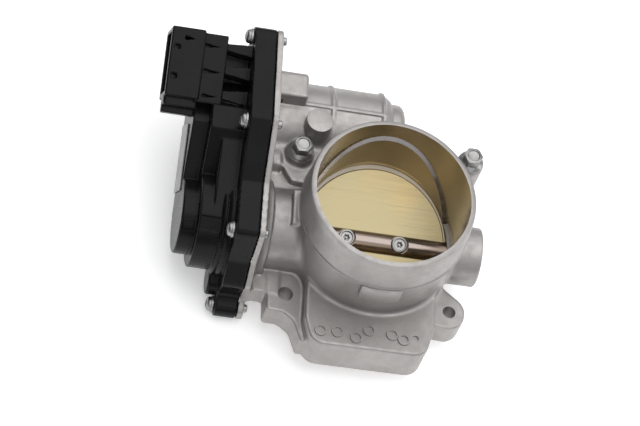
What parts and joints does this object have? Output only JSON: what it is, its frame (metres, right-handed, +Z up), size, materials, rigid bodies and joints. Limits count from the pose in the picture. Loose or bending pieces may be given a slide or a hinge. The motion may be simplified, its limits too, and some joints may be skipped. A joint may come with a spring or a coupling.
{
  "type": "throttle body",
  "caption": "Motor-driven throttle body: cast housing with a round bore and disc valve on a cross shaft, gear train under a plastic cover with connector.",
  "frame": {"origin": "centre of the bore on the manifold face, the flat underside that is bolted to the intake manifold", "axes": "+Z runs up the bore axis to the air inlet, +X runs along the throttle shaft away from the gear cover, +Y points from the bore to the motor"},
  "size_m": [0.1583, 0.1362, 0.0789],
  "materials": {
    "cast_aluminium": "satin, fine cast grain; bore, lip and ledge machined",
    "plate_brass": "satin, finely brushed",
    "shaft_steel": "ground, polished",
    "zinc_steel": "zinc plated, satin",
    "black_plastic": "moulded, satin",
    "gear_plastic": "natural nylon, satin",
    "black_rubber": "matt",
    "spring_steel": "drawn wire",
    "terminal_tin": "tin plated",
    "board_green": "solder resist, satin",
    "magnet_grey": "matt",
    "label_grey": "satin, blank"
  },
  "bodies": {
    "housing": {"throttle_housing": "cast_aluminium", "gear_cover": "black_plastic", "cover_gasket": "black_rubber", "cover_screw_1": "zinc_steel", "cover_screw_2": "zinc_steel", "cover_screw_3": "zinc_steel", "cover_screw_4": "zinc_steel", "cover_screw_5": "zinc_steel", "cover_screw_6": "zinc_steel", "connector_terminal_1": "terminal_tin", "connector_terminal_2": "terminal_tin", "connector_terminal_3": "terminal_tin", "connector_terminal_4": "terminal_tin", "connector_terminal_5": "terminal_tin", "connector_terminal_6": "terminal_tin", "sensor_board": "board_green", "identification_label": "label_grey", "flange_bolt_left": "zinc_steel", "flange_bolt_right": "zinc_steel", "shaft_bearing_left": "shaft_steel", "shaft_bearing_right": "shaft_steel", "shaft_seal_left": "black_rubber", "shaft_seal_right": "black_rubber", "shaft_end_plug": "zinc_steel", "return_spring": "spring_steel", "drive_motor": "zinc_steel", "motor_screw_1": "zinc_steel", "motor_screw_2": "zinc_steel", "intermediate_gear_pin": "shaft_steel"},
    "throttle": {"throttle_shaft": "shaft_steel", "throttle_plate": "plate_brass", "plate_screw_1": "zinc_steel", "plate_screw_2": "zinc_steel", "throttle_gear": "gear_plastic", "gear_nut": "zinc_steel", "sensor_magnet": "magnet_grey"},
    "intermediate": {"intermediate_gear": "gear_plastic"},
    "motor_rotor": {"motor_shaft": "shaft_steel", "motor_pinion": "shaft_steel"}
  },
  "joints": [
    {"name": "throttle_hinge", "type": "hinge", "parent": "housing", "child": "throttle", "pos_m": [0, 0, 0.0192], "axis": [1, 0, 0], "range_deg": [-5, 72], "stiffness_Nm_per_rad": 0.35},
    {"name": "intermediate_hinge", "type": "hinge", "parent": "housing", "child": "intermediate", "pos_m": [0, 0.03063, 0.02846], "axis": [1, 0, 0], "range_deg": [-260, 20]},
    {"name": "motor_hinge", "type": "hinge", "parent": "housing", "child": "motor_rotor", "pos_m": [0, 0.056, 0.0208], "axis": [1, 0, 0], "range_deg": [-70, 985]}
  ],
  "couplings": [
    {"joint": "intermediate_hinge", "follows": "throttle_hinge", "ratio": -3.5714},
    {"joint": "motor_hinge", "follows": "throttle_hinge", "ratio": 13.636}
  ]
}
